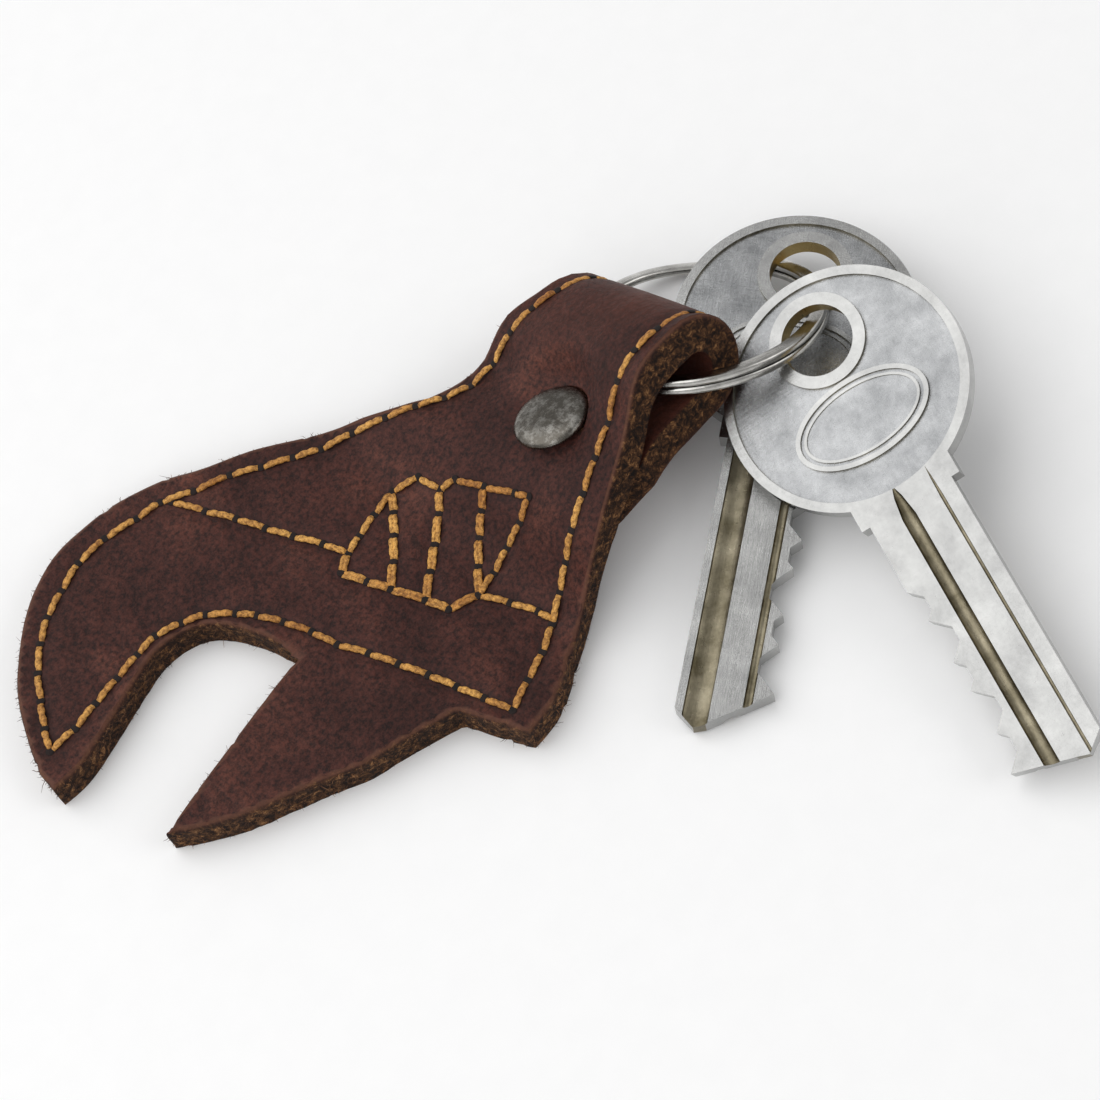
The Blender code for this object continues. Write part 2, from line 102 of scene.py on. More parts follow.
# Keys
KEY_T = 2.0 * MM
POCKET_DEPTH = 0.34 * MM
BOW_RIM = 0.95 * MM
COLLAR = 1.25 * MM
BADGE_X = 3.6 * MM
BADGE = (4.3 * MM, 7.3 * MM)
FIELD, FIELD_DEPTH = (3.8 * MM, 6.8 * MM), 0.22 * MM
LINE = (3.45 * MM, 6.4 * MM)
FACE, FACE_DEPTH = (3.2 * MM, 6.1 * MM), 0.12 * MM
SHOULDER_LENGTH, SHOULDER_STEP = 2.4 * MM, 0.9 * MM
TOOTH_PITCH, TOOTH_FLAT = 3.95 * MM, 1.5 * MM
KEY_BEVEL = 0.12 * MM
# Milled grooves in a blade: side of the plate, place across it, width and depth.
GROOVES = (
    (1, -0.8 * MM, 1.5 * MM, 0.6 * MM), (1, 2.9 * MM, 0.35 * MM, 0.15 * MM),
    (-1, 2.5 * MM, 2.6 * MM, 0.55 * MM), (-1, -2.3 * MM, 0.9 * MM, 0.4 * MM),
)
# Each key's frame stands in its hole: X runs along the blade and Z is square to the plate.
KEYS = {
    "front_key": dict(
        position=Vector((40.19, -14.36, 10.55)) * MM, along=Vector((-0.3885, -0.9097, -0.1471)),
        normal=Vector((-0.3681, 0.0069, 0.9298)), offset=5.81 * MM, bow=12.5 * MM, hole=3.68 * MM,
        half=4.6 * MM, reach=43.35 * MM, first_cut=28.9 * MM, cuts=[1.2, 2.1, 1.4, 2.3, 1.6], flipped=False,
    ),
    "rear_key": dict(
        position=Vector((48.14, -5.32, 4.74)) * MM, along=Vector((-0.8621, -0.5019, -0.0696)),
        normal=Vector((-0.0418, -0.0665, 0.9969)), offset=5.9 * MM, bow=12.7 * MM, hole=3.68 * MM,
        half=4.6 * MM, reach=44.6 * MM, first_cut=27.6 * MM, cuts=[1.5, 1.0, 2.2, 1.3, 2.0], flipped=True,
    ),
}

# Outline of the unrolled strap, and how far its lower face rises along it, in mm
NEAR_CORNER = [(8.5, -12.6), (5.6, -13.1), (2.6, -14.1), (-2.3, -16.5), (-4.9, -17.1), (-7.4, -17.2)]
NOTCH_END = [(-7.7, -16.6), (-10.0, -10.3)]
NOTCH_SIDE = [(-10.4, -9.9), (-15.8, -8.0)]
MOVING_JAW = [(-19.9, -6.8), (-23.8, -4.7), (-27.8, -2.8), (-31.3, -1.1), (-35.2, 1.6), (-37.4, 3.5)]
MOUTH = [
    (-32.0, 4.5), (-22.0, 6.0), (-17.2, 6.6), (-15.8, 6.8), (-16.1, 10.0), (-17.2, 13.6), (-18.9, 16.6),
    (-21.3, 18.2), (-24.6, 18.7), (-28.0, 18.0), (-32.6, 16.8), (-37.9, 15.6), (-41.4, 15.8),
]
FIXED_JAW = [
    (-41.1, 18.3), (-40.0, 20.9), (-37.5, 25.6), (-35.1, 28.6), (-31.1, 32.2), (-27.4, 34.4),
    (-23.1, 35.7), (-18.2, 35.5), (-14.7, 34.8), (-10.3, 33.0), (-6.7, 30.6), (-1.4, 27.6), (4.1, 23.2),
]
FAR_EDGE = [(7.5, 20.3), (10.7, 16.9), (14.4, 13.7), (19.2, 11.4), (23.5, 9.9), (27.6, 8.3), (31.0, 7.2)]
RISE = [(3.0, 0.0), (4.5, 0.3), (6.5, 1.4), (9.0, 2.9), (10.8, 3.5), (12.0, 3.65), (17.6, 3.65), (19.5, 4.0),
        (21.0, 5.0), (22.5, 6.3), (24.0, 7.2), (25.5, 7.5)]

# Stitch holes along each sewn line, in the order they were sewn.
SEAMS = {
    "thread_back_edge": [
        (-38.8, 19.2), (-37.5, 21.5), (-35.7, 24.1), (-33.8, 26.7), (-31.4, 29.0), (-28.9, 30.7),
        (-25.9, 31.8), (-22.6, 32.8), (-18.9, 32.7), (-15.2, 31.7), (-12.3, 31.1), (-9.2, 29.2),
        (-5.5, 27.5), (-2.8, 25.5), (0.1, 23.6), (2.6, 21.9), (5.8, 20.1), (8.9, 17.4), (11.7, 14.9),
        (14.2, 12.5), (16.8, 10.6), (19.8, 9.3), (22.8, 8.0), (25.8, 6.8), (28.8, 5.8), (31.7, 5.0),
        (34.7, 4.8),
    ],
    "thread_jaw_mouth": [
        (-38.8, 19.2), (-35.5, 19.0), (-32.3, 19.4), (-29.0, 19.7), (-25.9, 20.0), (-23.3, 20.1),
        (-20.6, 19.0), (-18.4, 17.7), (-16.4, 15.3), (-15.2, 13.4), (-14.0, 10.7), (-13.0, 7.6),
        (-12.4, 4.5), (-11.1, 1.3), (-10.1, -1.9), (-9.1, -5.1), (-8.3, -8.2), (-7.5, -11.2),
        (-6.7, -14.3),
    ],
    "thread_near_edge": [
        (-6.7, -14.3), (-3.4, -13.3), (-0.3, -12.4), (2.5, -11.1), (5.2, -10.0), (7.4, -9.5),
        (9.7, -9.2), (12.8, -9.4), (16.0, -9.5), (19.1, -9.8), (22.3, -10.0), (25.5, -10.3),
        (28.6, -10.6), (31.7, -10.8), (34.8, -10.9),
    ],
    "thread_head_line": [
        (-11.5, 30.2), (-10.1, 26.5), (-8.7, 23.2), (-7.6, 19.9), (-6.5, 16.9), (-5.2, 13.8),
        (-4.4, 10.9),
    ],
    "thread_knurl_outline": [
        (-4.4, 10.9), (-2.2, 11.4), (0.5, 11.9), (3.5, 12.2), (6.1, 10.5), (6.3, 7.5), (7.8, 6.3),
        (8.7, 2.6), (9.7, -1.2), (10.1, -3.0), (7.9, -2.9), (5.6, -2.5), (3.1, -2.6), (0.4, -3.0),
    ],
    "thread_knurl_side": [
        (-4.4, 10.9), (-6.4, 9.9), (-5.5, 7.1), (-4.6, 4.6), (-3.3, 0.9), (-2.6, -1.7), (0.4, -3.0),
    ],
    "thread_handle_line": [(0.4, -3.0), (1.7, -6.1), (2.7, -9.0), (2.9, -11.0)],
    "thread_knurl_bar_1": [(3.5, 12.2), (1.9, 10.5), (0.0, 8.6), (-2.2, 6.5), (-4.6, 4.6)],
    "thread_knurl_bar_2": [(6.3, 7.5), (4.5, 6.3), (1.8, 4.5), (-0.7, 2.7), (-3.3, 0.9)],
    "thread_knurl_bar_3": [(8.7, 2.6), (6.9, 1.9), (4.9, 0.9), (2.7, -0.8), (0.4, -3.0)],
}
# Lines sewn with two strands side by side
DOUBLE = ("thread_knurl_bar_1", "thread_knurl_bar_2", "thread_knurl_bar_3", "thread_knurl_side")


def ramp(table, x):
    """Value at x of a table of (x, value) pairs in mm."""
    return float(np.interp(x, [p[0] * MM for p in table], [p[1] * MM for p in table]))


def spline(points, step):
    """Smooth curve through the points, with a vertex about every step."""
    ends = [points[0]] + list(points) + [points[-1]]
    found = []
    for p0, p1, p2, p3 in zip(ends, ends[1:], ends[2:], ends[3:]):
        a, b, c, d = (Vector(p) for p in (p0, p1, p2, p3))
        count = max(1, round((c - b).length / step))
        for i in range(count):
            t = i / count
            square, cube = (2 * a - 5 * b + 4 * c - d) * t**2, (3 * b - a - 3 * c + d) * t**3
            found.append(0.5 * (2 * b + (c - a) * t + square + cube))
    found.append(Vector(points[-1]))
    return found


def scaled(points):
    return [(x * MM, y * MM) for x, y in points]


def twist_at(x):
    t = min(1.0, max(0.0, (x - TWIST_FROM_X) / TWIST_LENGTH))
    return TWIST * t * t * (3 - 2 * t)


def twisted(x, v, n):
    """Point at v across and n above the strap, turned about the pivot line by the twist at x."""
    angle = twist_at(x)
    y = PIVOT_V + (v - PIVOT_V) * math.cos(angle) + n * math.sin(angle)
    z = n * math.cos(angle) - (v - PIVOT_V) * math.sin(angle)
    return Vector((x, y, z))


def smooth_rise(x):
    """Height of the strap's lower face at x, with the table's corners rounded."""
    return sum(ramp(RISE, x + d * MM) for d in (-1.2, -0.6, 0.0, 0.6, 1.2)) / 5 if x > 1.5 * MM else 0.0


def strap_point(s, v, outward):
    """Place of the unrolled strap's point (s, v), at the given height over its lower face."""
    if s <= FOLD_X:
        return twisted(s, v, smooth_rise(s) + outward)
    if s >= FOLD_END:
        return twisted(FOLD_X - (s - FOLD_END), v, FLAP - outward * FLAP / LEATHER)
    angle = (s - FOLD_X) / FOLD_MID_R
    share = angle / math.pi
    radius = FOLD_INNER_R + outward * (1 - share + share * FLAP / LEATHER)
    return twisted(FOLD_X + radius * math.sin(angle), v, FOLD_Z + radius * math.cos(angle))


def strap_normal(s, v):
    """Point (s, v) on the strap's upper face, and the face's normal there."""
    p = strap_point(s, v, LEATHER)
    a = strap_point(s + 0.2 * MM, v, LEATHER) - strap_point(s - 0.2 * MM, v, LEATHER)
    b = strap_point(s, v + 0.2 * MM, LEATHER) - strap_point(s, v - 0.2 * MM, LEATHER)
    return p, a.cross(b).normalized()


def strap_frame(x, v, n):
    """Frame on the strap whose Z axis stands square to it."""
    return Matrix.Translation(twisted(x, v, n)) @ Matrix.Rotation(-twist_at(x), 4, "X")


def axis_frame(centre, normal, along):
    """Frame at the centre, with Z on the normal and X towards along."""
    z = normal.normalized()
    x = (along - along.dot(z) * z).normalized()
    return Matrix.Translation(centre) @ Matrix((x, z.cross(x), z)).transposed().to_4x4()


# ---------------------------------------------------------------- materials
def new_material(name):
    made = bpy.data.materials.new(name)
    made.use_nodes = True
    tree = made.node_tree
    return made, tree, tree.nodes["Principled BSDF"]


def node(tree, kind, **values):
    made = tree.nodes.new(kind)
    for key, value in values.items():
        if key in made.inputs:
            made.inputs[key].default_value = value
        else:
            setattr(made, key, value)
    return made


def noise_node(tree, place, scale, detail=4.0, roughness=0.6, distortion=0.0):
    made = node(tree, "ShaderNodeTexNoise", Scale=scale, Detail=detail, Roughness=roughness,
                Distortion=distortion)
    tree.links.new(place, made.inputs["Vector"])
    return made.outputs["Fac"]


def colour_ramp(tree, value, stops):
    made = tree.nodes.new("ShaderNodeValToRGB")
    elements = made.color_ramp.elements
    while len(elements) < len(stops):
        elements.new(0.5)
    for element, (place, colour) in zip(elements, stops):
        element.position = place
        element.color = (*colour, 1)
    tree.links.new(value, made.inputs["Fac"])
    return made.outputs["Color"]


def mix(tree, factor, a, b, blend="MIX"):
    made = tree.nodes.new("ShaderNodeMix")
    made.data_type = "RGBA"
    made.blend_type = blend
    for socket, value in ((made.inputs[0], factor), (made.inputs[6], a), (made.inputs[7], b)):
        if isinstance(value, bpy.types.NodeSocket):
            tree.links.new(value, socket)
        else:
            socket.default_value = value if isinstance(value, float) else (*value, 1)
    return made.outputs[2]


def bump(tree, shader, height, strength, distance, previous=None):
    made = node(tree, "ShaderNodeBump", Strength=strength, Distance=distance)
    tree.links.new(height, made.inputs["Height"])
    if previous:
        tree.links.new(previous, made.inputs["Normal"])
    tree.links.new(made.outputs["Normal"], shader.inputs["Normal"])
    return made.outputs["Normal"]


def leather_material():
    """Mottled brown grain, lighter and redder towards the fold as painted light, painted shade along the
    thread furrows, a pale rim and fibrous cut edges.
    """
    made, tree, shader = new_material("leather_look")
    place = tree.nodes.new("ShaderNodeTexCoord").outputs["Object"]
    cloudy = noise_node(tree, place, 90, 6, 0.62, 0.4)
    fine = noise_node(tree, place, 2000, 5, 0.75)
    base = colour_ramp(tree, cloudy, [(0.30, (0.026, 0.0080, 0.0060)), (0.52, (0.050, 0.0150, 0.0105)),
                                      (0.72, (0.090, 0.029, 0.018))])
    speckle = colour_ramp(tree, fine, [(0.38, (0.30, 0.29, 0.32)), (0.62, (1.60, 1.50, 1.50))])
    top = mix(tree, 0.95, base, speckle, "MULTIPLY")
    # painted light: fold_light makes the leather lighter and redder towards the fold
    fold_light = node(tree, "ShaderNodeAttribute", attribute_name="fold_light").outputs["Fac"]
    top = mix(tree, fold_light, top, (0.150, 0.046, 0.027))
    # painted shade: the seam attribute darkens the leather along the thread furrows
    seam = node(tree, "ShaderNodeAttribute", attribute_name="seam").outputs["Fac"]
    top = mix(tree, seam, top, (0.028, 0.012, 0.011))
    rim = node(tree, "ShaderNodeAttribute", attribute_name="rim").outputs["Fac"]
    top = mix(tree, rim, top, (0.150, 0.062, 0.038))
    edge = node(tree, "ShaderNodeAttribute", attribute_name="edge").outputs["Fac"]
    fibre = noise_node(tree, place, 1350, 8, 0.8, 0.5)
    raw = colour_ramp(tree, fibre, [(0.36, (0.004, 0.003, 0.003)), (0.47, (0.026, 0.012, 0.007)),
                                    (0.56, (0.13, 0.058, 0.024)), (0.66, (0.50, 0.25, 0.100))])
    colour = mix(tree, edge, top, raw)
    tree.links.new(colour, shader.inputs["Base Color"])
    rough = colour_ramp(tree, cloudy, [(0.3, (0.66, 0.66, 0.66)), (0.7, (0.50, 0.50, 0.50))])
    tree.links.new(mix(tree, edge, rough, (0.9, 0.9, 0.9)), shader.inputs["Roughness"])
    shader.inputs["Specular IOR Level"].default_value = 0.22
    cells = node(tree, "ShaderNodeTexVoronoi", Scale=1500.0)
    tree.links.new(place, cells.inputs["Vector"])
    first = bump(tree, shader, cells.outputs["Distance"], 0.22, 0.0002)
    second = bump(tree, shader, fine, 0.35, 0.0003, first)
    bump(tree, shader, mix(tree, edge, cloudy, fibre), 0.8, 0.0006, second)
    return made


def thread_material():
    """Waxed golden-tan thread with fine strands."""
    made, tree, shader = new_material("thread_look")
    place = tree.nodes.new("ShaderNodeTexCoord").outputs["Object"]
    fine = noise_node(tree, place, 2600, 4, 0.7)
    patch = noise_node(tree, place, 160, 3, 0.5)
    base = colour_ramp(tree, patch, [(0.3, (0.46, 0.190, 0.036)), (0.7, (0.78, 0.42, 0.105))])
    strands = colour_ramp(tree, fine, [(0.38, (0.30, 0.22, 0.18)), (0.60, (1.25, 1.25, 1.20))])
    colour = mix(tree, 0.8, base, strands, "MULTIPLY")
    tree.links.new(colour, shader.inputs["Base Color"])
    tree.links.new(colour_ramp(tree, fine, [(0.3, (0.75, 0.75, 0.75)), (0.7, (0.5, 0.5, 0.5))]),
                   shader.inputs["Roughness"])
    bump(tree, shader, fine, 0.9, 0.0003)
    return made


# painted shade: near-black discs standing in for the shadow inside each stitch hole
def hole_shade_material():
    made, tree, shader = new_material("stitch_hole_shade_look")
    place = tree.nodes.new("ShaderNodeTexCoord").outputs["Object"]
    fine = noise_node(tree, place, 1500, 4, 0.6)
    tree.links.new(colour_ramp(tree, fine, [(0.3, (0.004, 0.003, 0.003)), (0.8, (0.022, 0.011, 0.009))]),
                   shader.inputs["Base Color"])
    shader.inputs["Roughness"].default_value = 0.95
    bump(tree, shader, fine, 0.4, 0.0002)
    return made


def metal_material(name, low, high, rough_low, rough_high, scratch=0.15, dark=None, pits=0.25):
    """Metal between two tones, with crossed scratches, fine pits and, where dark is given, tarnish spots."""
    made, tree, shader = new_material(name)
    place = tree.nodes.new("ShaderNodeTexCoord").outputs["Object"]
    cloudy = noise_node(tree, place, 260, 6, 0.65)
    fine = noise_node(tree, place, 1800, 5, 0.65)
    base = colour_ramp(tree, cloudy, [(0.32, low), (0.68, high)])
    if dark:
        speck = noise_node(tree, place, 900, 7, 0.75)
        spots = colour_ramp(tree, speck, [(0.46, (1, 1, 1)), (0.62, (0, 0, 0))])
        base = mix(tree, spots, base, dark)
    tree.links.new(base, shader.inputs["Base Color"])
    shader.inputs["Metallic"].default_value = 1.0
    stretched = node(tree, "ShaderNodeMapping")
    stretched.inputs["Scale"].default_value = (1.0, 14.0, 1.0)
    stretched.inputs["Rotation"].default_value = (0.0, 0.0, 0.6)
    tree.links.new(place, stretched.inputs["Vector"])
    crossed = node(tree, "ShaderNodeMapping")
    crossed.inputs["Scale"].default_value = (18.0, 1.0, 1.0)
    crossed.inputs["Rotation"].default_value = (0.0, 0.0, 0.25)
    tree.links.new(place, crossed.inputs["Vector"])
    scratches = mix(tree, 0.5, noise_node(tree, stretched.outputs["Vector"], 420, 6, 0.8),
                    noise_node(tree, crossed.outputs["Vector"], 260, 6, 0.8))
    value = mix(tree, 0.5, fine, scratches)
    rough = colour_ramp(tree, value, [(0.35, (rough_low,) * 3), (0.65, (rough_high,) * 3)])
    tree.links.new(rough, shader.inputs["Roughness"])
    first = bump(tree, shader, scratches, scratch, 0.00012)
    bump(tree, shader, fine, pits, 0.00012, first)
    return made


LEATHER_LOOK = leather_material()
THREAD_LOOK = thread_material()
HOLE_SHADE_LOOK = hole_shade_material()
RIVET_LOOK = metal_material("rivet_look", (0.22, 0.21, 0.19), (0.36, 0.345, 0.32), 0.20, 0.34, 0.25,
                            (0.12, 0.11, 0.095), 0.3)
RING_LOOK = metal_material("ring_look", (0.30, 0.29, 0.27), (0.66, 0.65, 0.62), 0.12, 0.24, 0.2, None, 0.08)
KEY_LOOK = metal_material("key_look", (0.33, 0.33, 0.325), (0.47, 0.47, 0.46), 0.16, 0.30, 0.30, None, 0.08)
POCKET_LOOK = metal_material("key_recess_look", (0.23, 0.235, 0.24), (0.41, 0.415, 0.42), 0.18, 0.34, 0.45,
                             None, 0.10)
BRASS_LOOK = metal_material("key_brass_look", (0.40, 0.28, 0.10), (0.60, 0.46, 0.20), 0.22, 0.42, 0.3)
# grooves and pocket walls: milled brass tone, darkened with painted shade
GROOVE_BRASS_SHADE_LOOK = metal_material("key_groove_brass_shade_look", (0.10, 0.085, 0.05), (0.36, 0.32, 0.23), 0.22, 0.42, 0.5)


def add_object(name, bm, looks, matrix=None):
    mesh = bpy.data.meshes.new(name)
    bm.to_mesh(mesh)
    bm.free()
    for look in looks:
        mesh.materials.append(look)
    obj = bpy.data.objects.new(name, mesh)
    bpy.context.scene.collection.objects.link(obj)
    if matrix is not None:
        obj.matrix_world = matrix
    return obj


def tube(bm, loops):
    """Skins a row of vertex loops and caps both ends."""
    sides = len(loops[0])
    for p, q in zip(loops, loops[1:]):
        for k in range(sides):
            m = (k + 1) % sides
            bm.faces.new((p[k], p[m], q[m], q[k]))
    bm.faces.new(loops[0])
    bm.faces.new(list(reversed(loops[-1])))


def cut(obj, cutter):
    modifier = obj.modifiers.new("cut", "BOOLEAN")
    modifier.operation = "DIFFERENCE"
    modifier.solver = "EXACT"
    modifier.object = cutter
    bpy.context.view_layer.update()
    shaped = bpy.data.meshes.new_from_object(obj.evaluated_get(bpy.context.evaluated_depsgraph_get()))
    obj.modifiers.clear()
    obj.data = shaped
    bpy.data.objects.remove(cutter, do_unlink=True)


def smooth(obj, angle=35):
    obj.data.shade_smooth()
    obj.data.set_sharp_from_angle(angle=math.radians(angle))


def fit(obj, body, slot, *nodes):
    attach(obj, body)
    if nodes:
        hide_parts(*nodes)


# ---------------------------------------------------------------- leather
def border(faces):
    """Vertices on the border of a region of faces."""
    inside = set(faces)
    edges = {e for f in faces for e in f.edges if any(g not in inside for g in e.link_faces)}
    return {vert for e in edges for vert in e.verts}


def strap_outline():
    """Outline of the unrolled strap with its flap."""
    flap_end = FOLD_END + FOLD_X - FLAP_END_X
    taper = FOLD_END + FOLD_X - FLAP_TAPER_X
    points = [(taper, -12.6 * MM), (flap_end - 2.5 * MM, -10.6 * MM), (flap_end - 0.7 * MM, -9.6 * MM),
              (flap_end, -8.0 * MM), (flap_end, 6.4 * MM), (flap_end - 0.6 * MM, 7.8 * MM),
              (flap_end - 2.5 * MM, 8.6 * MM), (taper, 8.0 * MM), (FOLD_END - 1.0 * MM, 7.0 * MM),
              (FOLD_X + 3.0 * MM, 7.0 * MM)]
    points += spline(scaled(reversed(FAR_EDGE)), 1.2 * MM)
    for run in (FIXED_JAW, MOUTH, MOVING_JAW, NOTCH_SIDE, NOTCH_END, NEAR_CORNER):
        points += spline(scaled(reversed(run)), 0.9 * MM)
    return [Vector((p[0], p[1])) for p in points]


def make_leather():
    """The strap as a dense mesh, built flat and then rolled and twisted into place."""
    bm = bmesh.new()
    outline = strap_outline()
    kept = [outline[0]]
    for p in outline[1:]:
        if (p - kept[-1]).length > 0.15 * MM:
            kept.append(p)
    face = bm.faces.new([bm.verts.new((p.x, p.y, 0)) for p in kept])
    face.normal_update()
    if face.normal.z < 0:
        bmesh.ops.reverse_faces(bm, faces=[face])
    low_x, high_x = min(p.x for p in kept), max(p.x for p in kept)
    low_y, high_y = min(p.y for p in kept), max(p.y for p in kept)
    for axis, low, high in ((0, low_x, high_x), (1, low_y, high_y)):
        place = low + GRID_STEP
        while place < high - 0.3 * MM:
            at = [0, 0, 0]
            way = [0, 0, 0]
            at[axis], way[axis] = place, 1
            bmesh.ops.bisect_plane(bm, geom=bm.verts[:] + bm.edges[:] + bm.faces[:], plane_co=at,
                                   plane_no=way, dist=1e-7)
            place += GRID_STEP
    bmesh.ops.remove_doubles(bm, verts=bm.verts, dist=MERGE_DISTANCE)
    edge_layer = bm.verts.layers.float.new("edge")
    rim_layer = bm.verts.layers.float.new("rim")
    # walls rise in steps so that the cut edge can be rough
    top = bm.faces[:]
    for height in WALL_STEPS:
        raised = bmesh.ops.extrude_face_region(bm, geom=top)
        top = [item for item in raised["geom"] if isinstance(item, bmesh.types.BMFace)]
        verts = {vert for f in top for vert in f.verts}
        for vert in verts:
            vert.co.z = height * MM
            vert[edge_layer] = 0.0
        for vert in border(top):
            vert[edge_layer] = 0.75 if height == WALL_STEPS[-1] else 1.0
    # flat faces left inside by the stepped extrusion
    stale = [f for f in bm.faces if len({round(v.co.z, 6) for v in f.verts}) == 1
             and 0.5 * MM < f.calc_center_median().z < 3.2 * MM]
    if stale:
        bmesh.ops.delete(bm, geom=stale, context="FACES")
    for inset, height, edge, rim in RIM_STEPS:
        bmesh.ops.inset_region(bm, faces=top, thickness=inset * MM, use_boundary=True, use_even_offset=False)
        for vert in {vert for f in top for vert in f.verts}:
            vert.co.z = height * MM
            vert[edge_layer] = 0.0
        for vert in border(top):
            vert[edge_layer] = edge
            vert[rim_layer] = rim
    for vert in bm.verts:
        if vert.co.z < 0.01 * MM and any(abs(f.normal.z) < 0.5 for f in vert.link_faces):
            vert[edge_layer] = 1.0
    bm.normal_update()
    fold_light = bm.verts.layers.float.new("fold_light")
    seam = bm.verts.layers.float.new("seam")
    runs = [np.array(scaled(points)) for points in SEAMS.values()]
    starts = np.vstack([run[:-1] for run in runs])
    steps = np.vstack([run[1:] - run[:-1] for run in runs])
    for vert in bm.verts:
        s, v, n = vert.co
        q = np.array((s, v)) - starts
        t = np.clip((q * steps).sum(1) / (steps**2).sum(1), 0, 1)
        gap = np.hypot(*(q - steps * t[:, None]).T).min() / MM
        rough = 0.0
        if n > 3.7 * MM:
            rough -= FURROW_DEPTH * math.exp(-((gap / FURROW_WIDTH) ** 2))
            # painted shade: a dark band in the furrow along the thread, kept in the seam attribute
            vert[seam] = FURROW_SHADE * math.exp(-((gap / FURROW_SHADE_WIDTH) ** 2))
            away = math.hypot(s - RIVET_X, v - RIVET_V) / MM
            rough -= DIMPLE_DEPTH * math.exp(-(((away - DIMPLE_R) / DIMPLE_WIDTH) ** 2))
            dip = max(0.0, smooth_rise(s) - SEAT_RISE * MM) if s < FOLD_X else 0.0
            rough -= dip / MM * math.exp(-((max(0.0, away - SEAT_R) / SEAT_WIDTH) ** 2))
        wave = noise.noise(Vector((s, v, 0)) * 120) * 0.09 + noise.noise(Vector((s, v, 5)) * 420) * 0.035
        outward = n + (rough + (wave if n > 3.5 * MM else 0.0)) * MM
        jag = vert[edge_layer] * (noise.noise(Vector((s, v, n * 1.6)) * 900) * 0.05
                                  + noise.noise(Vector((s, v, n)) * 2600) * 0.07)
        jag *= 1.3 - 1.1 * (n / LEATHER) ** 2
        shift = Vector((vert.normal.x, vert.normal.y, 0)) * jag * MM
        # painted light: lighter, redder leather from 21 mm on towards the fold, in noisy patches
        fold_light_share = 0.55 * min(1.0, max(0.0, (s / MM - 21) / 9))
        vert[fold_light] = min(0.7, max(0.0, fold_light_share * (0.5 + noise.noise(Vector((s, v, 9)) * 90))))
        vert.co = strap_point(s + shift.x, v + shift.y, max(0.0, outward))
    bmesh.ops.recalc_face_normals(bm, faces=bm.faces)
    return add_object("leather_visual", bm, [LEATHER_LOOK])


def cylinder(radius, depth, sides, matrix):
    bm = bmesh.new()
    bmesh.ops.create_cone(bm, cap_ends=True, segments=sides, radius1=radius, radius2=radius, depth=depth,
                          matrix=Matrix.Translation((0, 0, depth / 2)))
    return add_object("cutter", bm, [LEATHER_LOOK], matrix)


def turned(name, profile, sides, look, matrix, dent=0.0):
    """Solid of revolution of a (radius, height) profile, slightly dented."""
    bm = bmesh.new()
    rings = []
    for radius, height in profile[1:-1]:
        ring = []
        for i in range(sides):
            angle = 2 * math.pi * i / sides
            p = Vector((radius * math.cos(angle), radius * math.sin(angle), height))
            p.z += dent * noise.noise(p * 700)
            ring.append(bm.verts.new(p))
        rings.append(ring)
    first, last = bm.verts.new((0, 0, profile[0][1])), bm.verts.new((0, 0, profile[-1][1]))
    for i in range(sides):
        j = (i + 1) % sides
        bm.faces.new((first, rings[0][j], rings[0][i]))
        bm.faces.new((last, rings[-1][i], rings[-1][j]))
        for a, b in zip(rings, rings[1:]):
            bm.faces.new((a[i], a[j], b[j], b[i]))
    bmesh.ops.recalc_face_normals(bm, faces=bm.faces)
    obj = add_object(name, bm, [look], matrix)
    smooth(obj, 50)
    return obj


def make_rivet(strap):
    """Seats in the leather, the domed cap, and the post with the flat back."""
    top = ramp(RISE, RIVET_X) + LEATHER
    seat = top - 0.3 * MM
    cut(strap, cylinder(POST_R + 0.3 * MM, 20 * MM, 24, strap_frame(RIVET_X, RIVET_V, -6 * MM)))
    cut(strap, cylinder(CAP_R + 0.12 * MM, 6 * MM, 48, strap_frame(RIVET_X, RIVET_V, seat)))
    cut(strap, cylinder(BACK_R + 0.3 * MM, 6 * MM, 32, strap_frame(RIVET_X, RIVET_V, -6 * MM)))
    profile = [(0, 0.1 * MM), (CAP_R - 0.25 * MM, 0.1 * MM), (CAP_R - 0.06 * MM, 0.2 * MM),
               (CAP_R, 0.38 * MM), (CAP_R - 0.03 * MM, 0.52 * MM)]
    for step in range(1, 16):
        angle = math.radians(90 * step / 16)
        radius = (CAP_R - 0.08 * MM) * math.cos(angle) ** 0.7
        profile.append((radius, CAP_EDGE + CAP_DOME * math.sin(angle)))
    profile.append((0, CAP_EDGE + CAP_DOME))
    place = strap_frame(RIVET_X, RIVET_V, seat + 0.15 * MM)
    cap = turned("rivet_cap_visual", profile, 64, RIVET_LOOK, place, CAP_DENT)
    fit(cap, "leather_fob", "rivet_metal", "rivet_cap")
    post_top = seat + 0.8 * MM
    post = [(0, 0), (3.0 * MM, 0), (3.25 * MM, 0.15 * MM), (BACK_R, 0.4 * MM), (3.2 * MM, BACK_T),
            (POST_R, BACK_T), (POST_R, post_top), (0, post_top)]
    place = strap_frame(RIVET_X, RIVET_V, -1.0 * MM)
    back = turned("rivet_post_visual", post, 40, RIVET_LOOK, place, BACK_DENT)
    fit(back, "leather_fob", "rivet_metal", "rivet_post")


